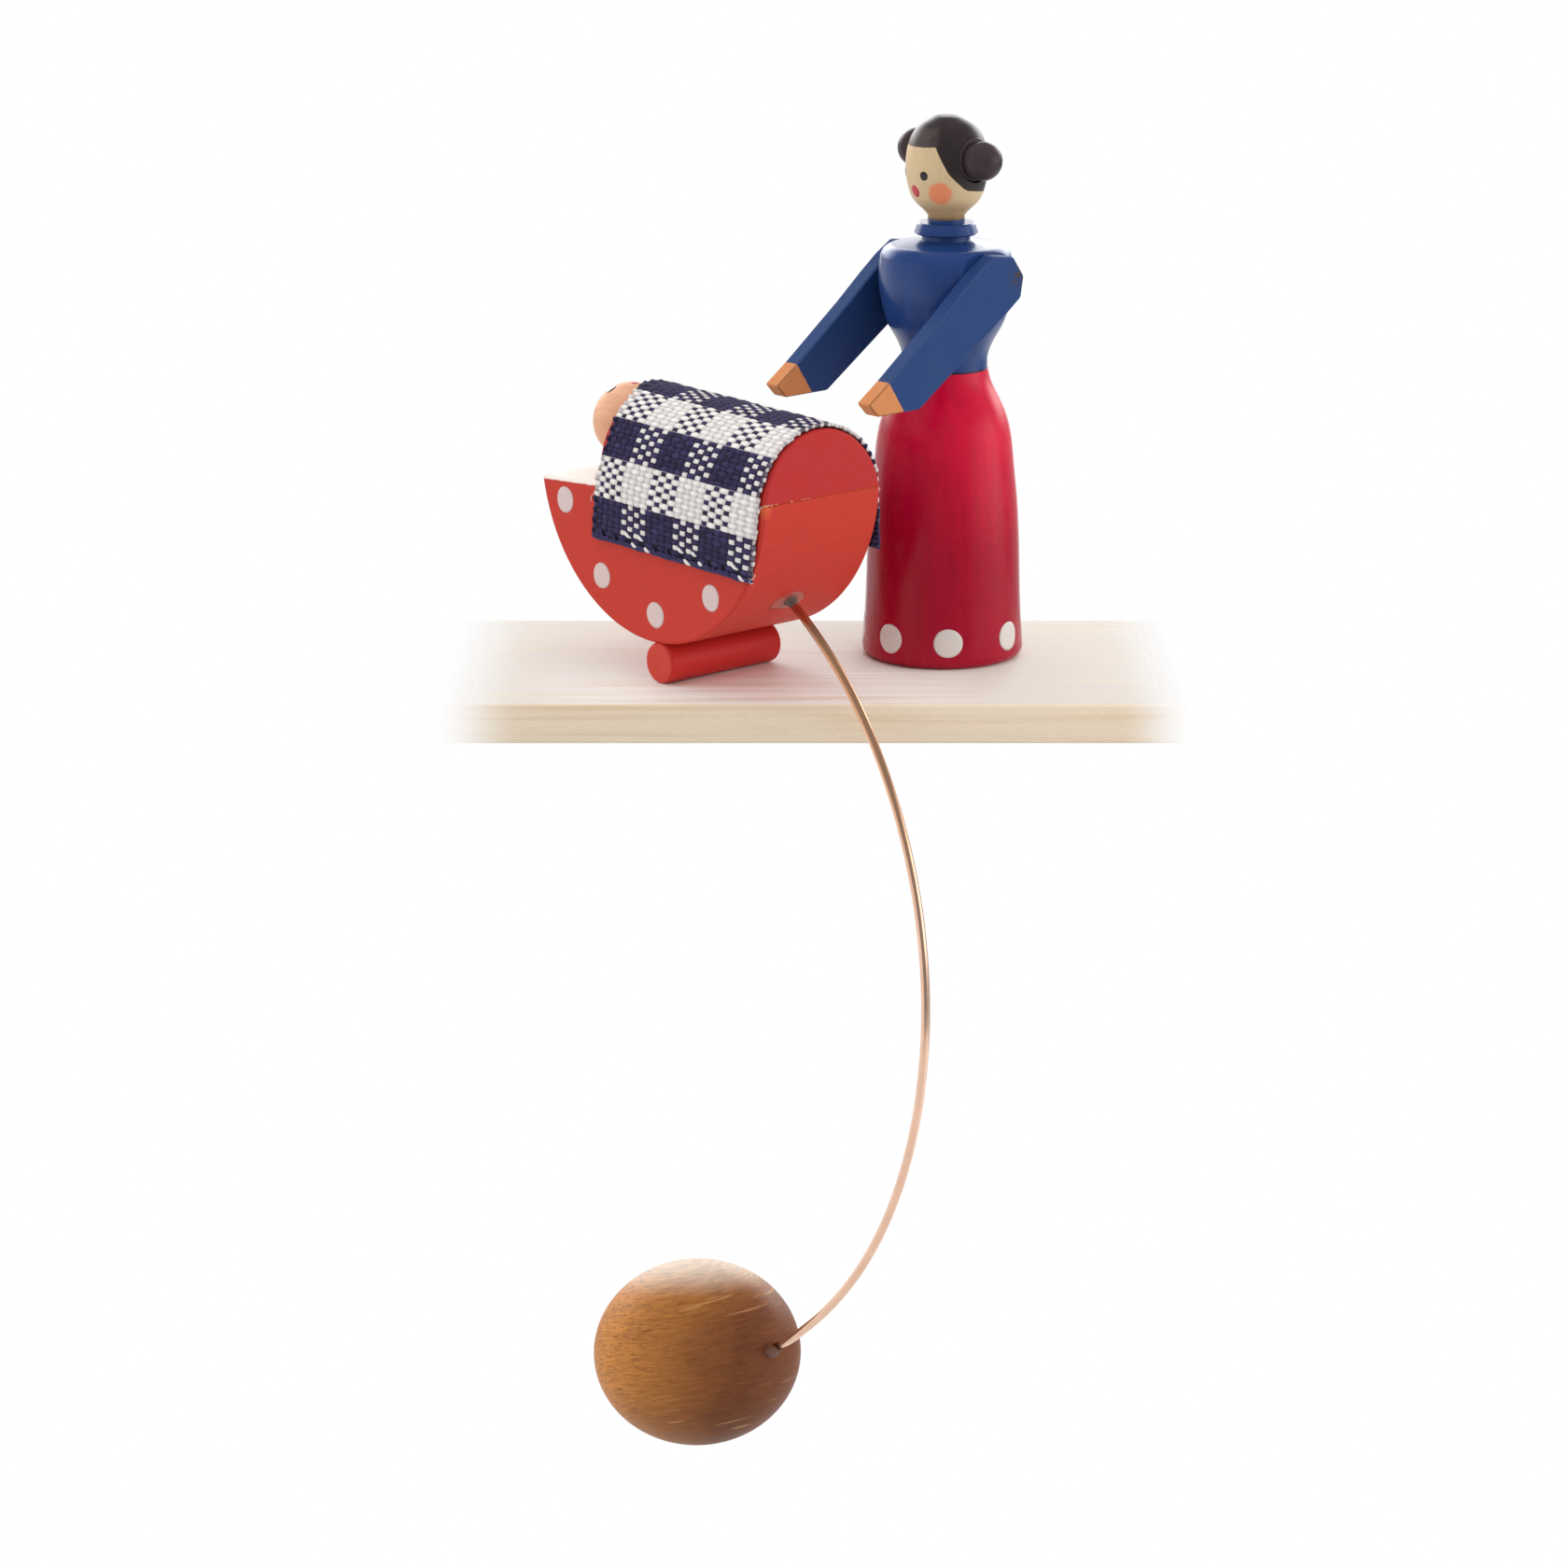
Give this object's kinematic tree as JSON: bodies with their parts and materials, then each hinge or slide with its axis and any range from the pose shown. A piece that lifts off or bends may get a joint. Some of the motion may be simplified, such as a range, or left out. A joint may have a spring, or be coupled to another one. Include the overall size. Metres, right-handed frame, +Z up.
{
  "type": "balancing toy",
  "caption": "Turned wooden mother figure beside a half-moon cradle that rocks on a dowel foot, balanced by a wooden weight hung below it on a bent wire.",
  "frame": {"origin": "centre of the figure's flat base, on the top of the shelf the toy stands on", "axes": "+Z up; +X along the cradle's length, towards the end where the wire leaves it; the figure faces -Y, towards the cradle"},
  "size_m": [0.0544, 0.0444, 0.1525],
  "materials": {
    "skirt_paint": "satin",
    "bodice_paint": "satin",
    "head_wood": "satin",
    "hair_paint": "satin",
    "sleeve_paint": "satin",
    "cradle_paint": "satin",
    "foot_paint": "satin",
    "bed_paint": "satin",
    "baby_paint": "satin",
    "gingham_cloth": "matte",
    "copper_wire": "polished",
    "stained_hardwood": "satin"
  },
  "bodies": {
    "figure": {"skirt": "skirt_paint", "bodice": "bodice_paint", "head": "head_wood", "hair_bun_left": "hair_paint", "hair_bun_right": "hair_paint", "arm_left": "sleeve_paint", "arm_right": "sleeve_paint"},
    "cradle": {"cradle_block": "cradle_paint", "rocker_foot": "foot_paint", "swaddled_body": "bed_paint", "baby_head": "baby_paint", "blanket": "gingham_cloth", "pendulum_wire": "copper_wire", "pendulum_weight": "stained_hardwood"}
  },
  "joints": [
    {"name": "cradle_rock", "type": "hinge", "parent": "figure", "child": "cradle", "pos_m": [-0.00977, -0.02482, 0.00229], "axis": [0, 1, 0], "range_deg": [-10, 10]}
  ]
}
